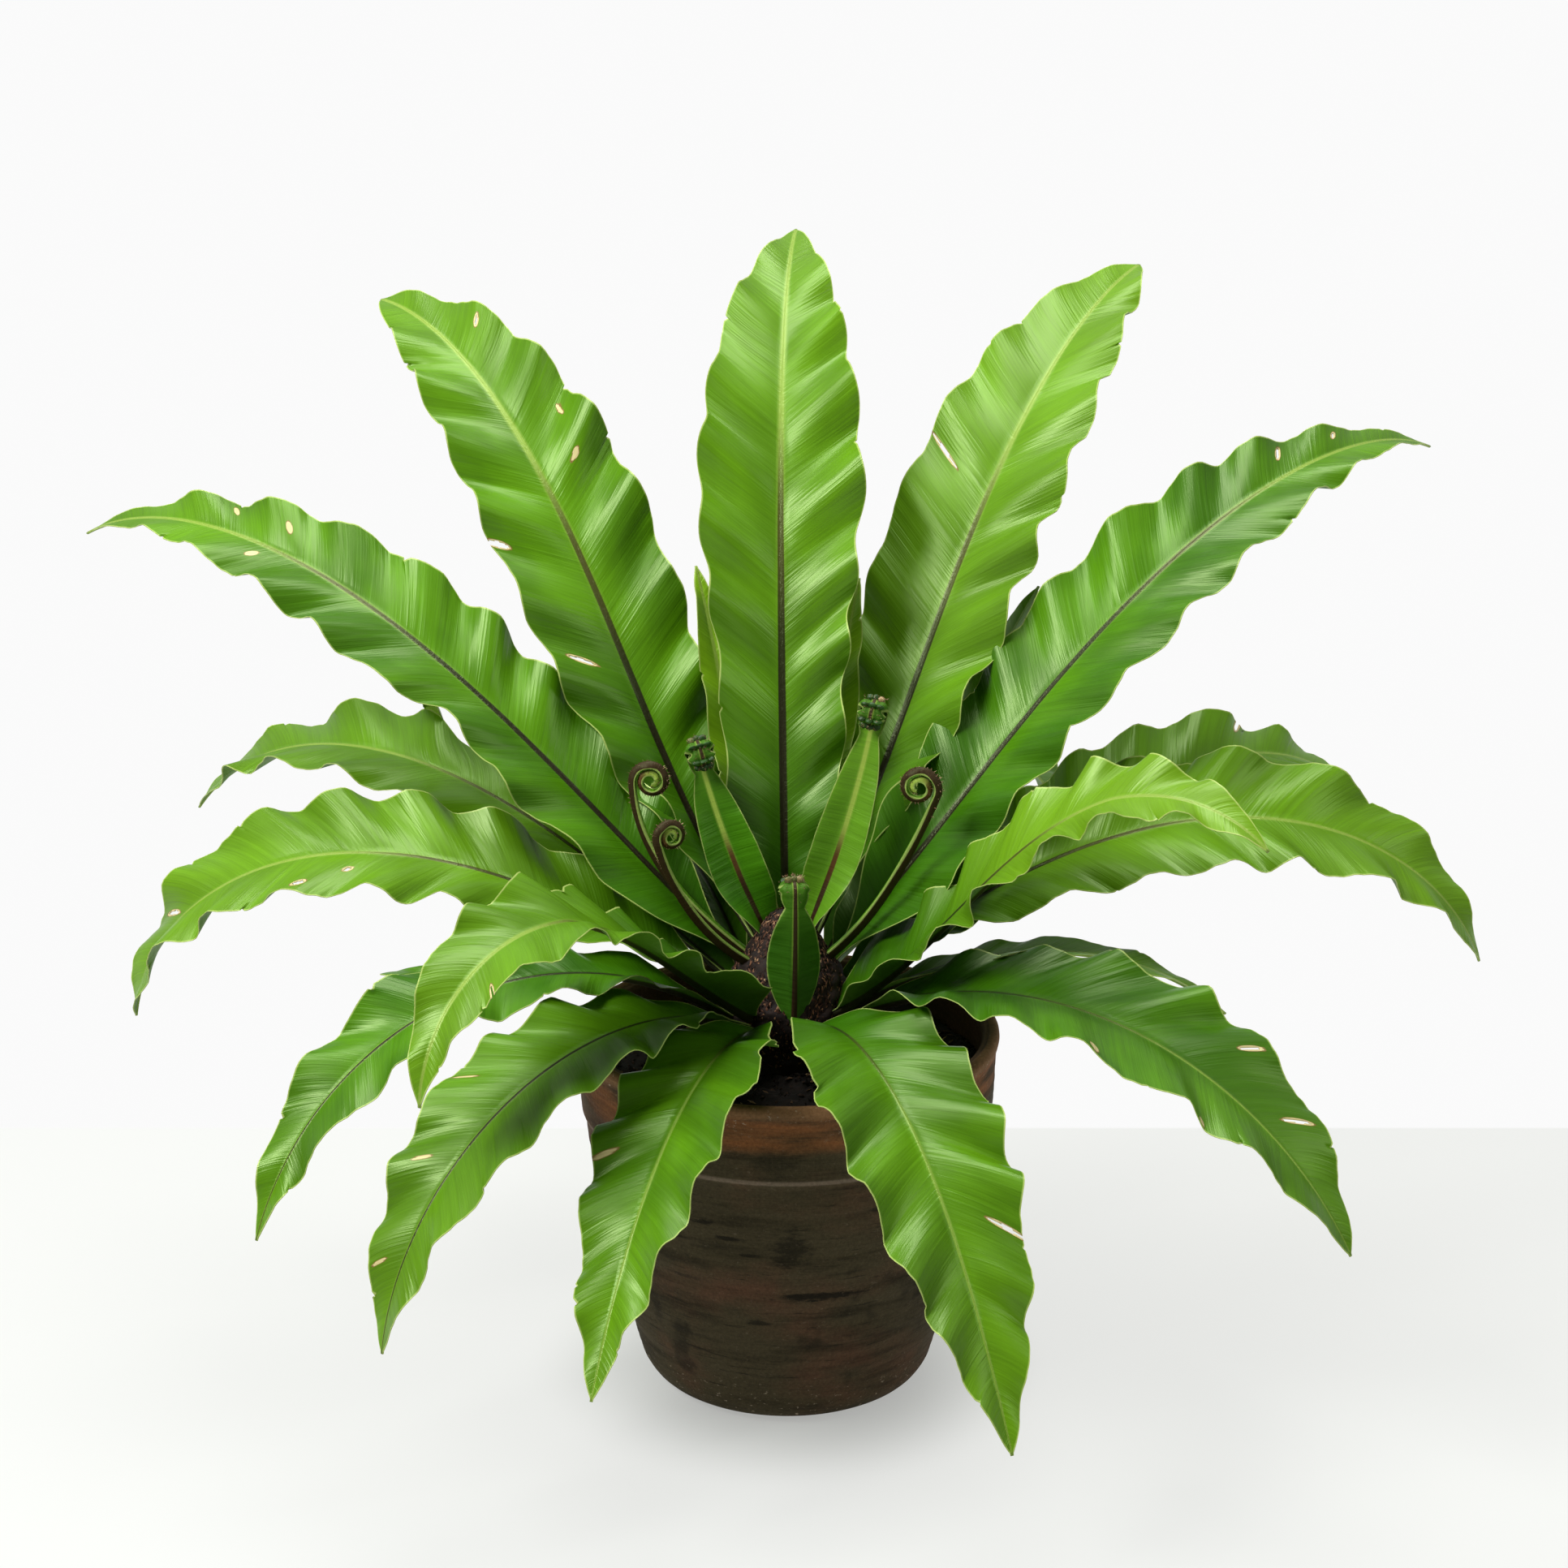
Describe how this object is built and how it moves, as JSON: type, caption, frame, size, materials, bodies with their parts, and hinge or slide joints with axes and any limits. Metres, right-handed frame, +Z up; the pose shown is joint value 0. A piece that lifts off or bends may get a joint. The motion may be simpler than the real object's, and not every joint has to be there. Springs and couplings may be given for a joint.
{
  "type": "potted bird's nest fern",
  "caption": "Bird's nest fern with broad waved fronds and coiled young fronds around a scaly crown, in a round clay pot with a raised rim band.",
  "frame": {"origin": "middle of the pot's flat underside", "axes": "+Z up along the pot's axis, -Y towards the viewer of the picture, +X to the right of the picture"},
  "size_m": [0.6734, 0.5228, 0.5165],
  "materials": {
    "clay": "matt weathered clay",
    "potting_mix": "rough",
    "crown_scales": "rough",
    "leaf": "satin",
    "light_leaf": "satin",
    "young_leaf": "satin"
  },
  "bodies": {
    "root": {"pot": "clay", "soil": "potting_mix", "crown": "crown_scales", "frond_01": "leaf", "frond_02": "leaf", "frond_03": "leaf", "frond_04": "leaf", "frond_05": "leaf", "frond_06": "leaf", "frond_07": "leaf", "frond_08": "leaf", "frond_09": "leaf", "frond_10": "light_leaf", "frond_11": "light_leaf", "frond_12": "leaf", "frond_13": "leaf", "frond_14": "leaf", "frond_15": "leaf", "frond_16": "leaf", "frond_17": "leaf", "frond_18": "light_leaf", "frond_19": "light_leaf", "frond_20": "leaf", "frond_21": "leaf", "frond_22": "leaf", "frond_23": "leaf", "frond_24": "leaf", "young_frond_1": "young_leaf", "young_frond_2": "young_leaf", "young_frond_3": "young_leaf", "young_frond_4": "young_leaf", "young_frond_5": "young_leaf", "young_frond_6": "young_leaf"}
  },
  "joints": []
}
